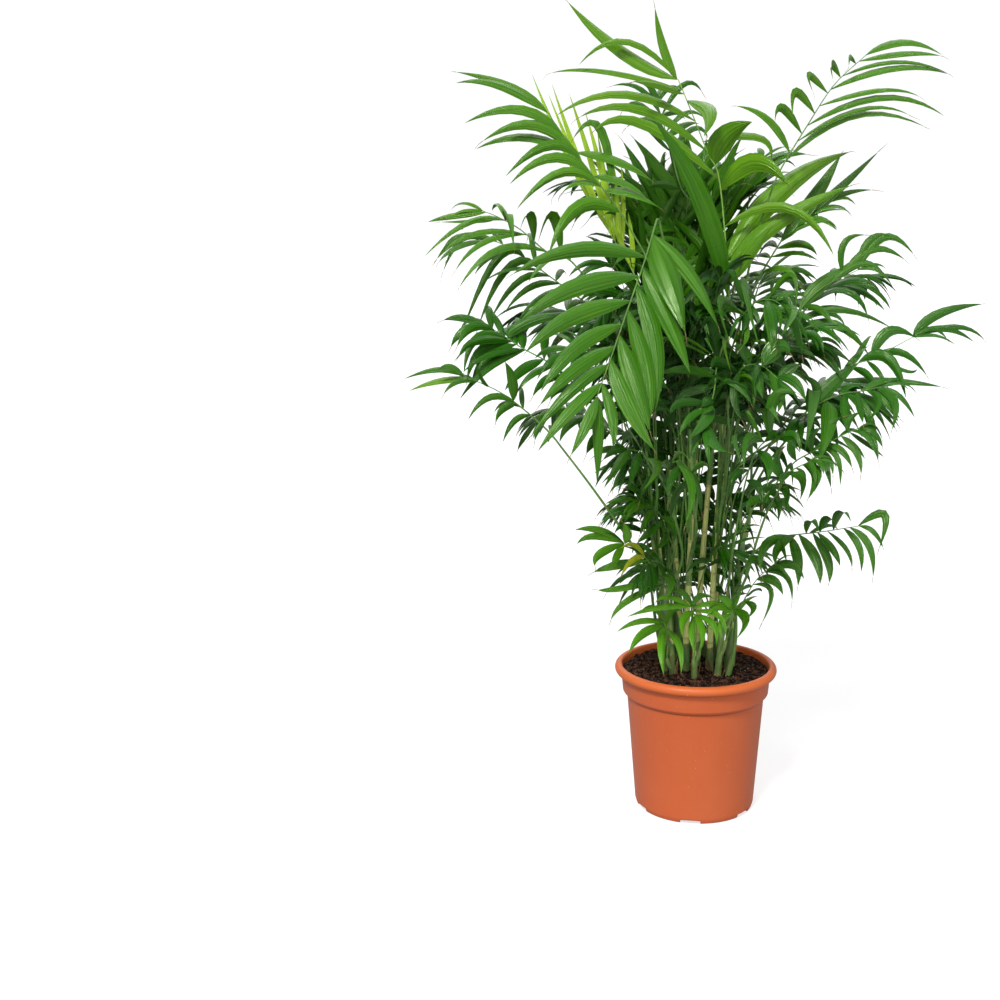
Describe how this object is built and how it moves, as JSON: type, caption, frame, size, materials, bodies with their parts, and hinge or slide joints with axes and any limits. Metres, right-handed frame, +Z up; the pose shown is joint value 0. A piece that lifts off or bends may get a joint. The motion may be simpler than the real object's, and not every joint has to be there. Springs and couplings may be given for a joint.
{
  "type": "parlour palm",
  "caption": "Bushy parlour palm with feathery arching fronds on slim canes, growing in a plain round tapered plastic nursery pot with a rolled rim.",
  "frame": {"origin": "centre of the pot's flat underside", "axes": "+Z up along the pot's axis, +X to the plant's right seen from the front, -Y to the front"},
  "size_m": [0.7089, 0.6823, 1.0243],
  "materials": {
    "pot": "satin terracotta-coloured moulded plastic",
    "soil": "crumbly moist peat",
    "cane": "smooth green cane with pale rings",
    "frond": "glossy mature leaflets",
    "young_frond": "soft yellow-green young leaflets"
  },
  "bodies": {
    "root": {"pot": "pot", "soil": "soil", "cane_tall_left": "cane", "cane_tall_middle": "cane", "cane_tall_right": "cane", "cane_left": "cane", "cane_back_left": "cane", "cane_back_right": "cane", "cane_right": "cane", "cane_front_left": "cane", "cane_front_right": "cane", "cane_front": "cane", "frond_crown": "frond", "frond_top_left": "frond", "frond_spear": "young_frond", "frond_top_right": "frond", "frond_hanging_petiole": "frond", "frond_hanging_blade": "frond", "frond_front_middle_petiole": "frond", "frond_front_middle_blade": "frond", "frond_left_upper": "frond", "frond_left_behind": "frond", "frond_left_low": "frond", "frond_left_dark": "frond", "frond_right_far": "frond", "frond_right_upper": "frond", "frond_right_middle": "frond", "frond_right_low": "frond", "frond_right_drooping": "frond", "frond_right_lowest": "frond", "frond_foot_right": "frond", "frond_left_lowest": "frond", "frond_foot_left": "frond", "frond_tuft_left": "young_frond", "frond_tuft_front": "young_frond", "frond_tuft_right": "young_frond", "frond_front_high": "frond", "frond_front_right": "frond", "frond_front_low_right": "frond", "frond_front_low": "frond", "frond_front_low_left": "frond", "frond_front_left": "frond", "frond_back_high_right": "frond", "frond_back_high": "frond", "frond_back_high_left": "frond", "frond_back_upper_right": "frond", "frond_back_upper": "frond", "frond_back_right": "frond", "frond_back_middle": "frond", "frond_back_left": "frond", "frond_back_far_left": "frond", "frond_back_low_right": "frond", "frond_back_low_middle": "frond", "frond_back_low_left": "frond", "frond_back_foot_right": "frond", "frond_back_foot_left": "frond", "fronds_inner_front": "frond", "fronds_inner_right": "frond", "fronds_inner_back": "frond", "fronds_inner_left": "frond"}
  },
  "joints": []
}
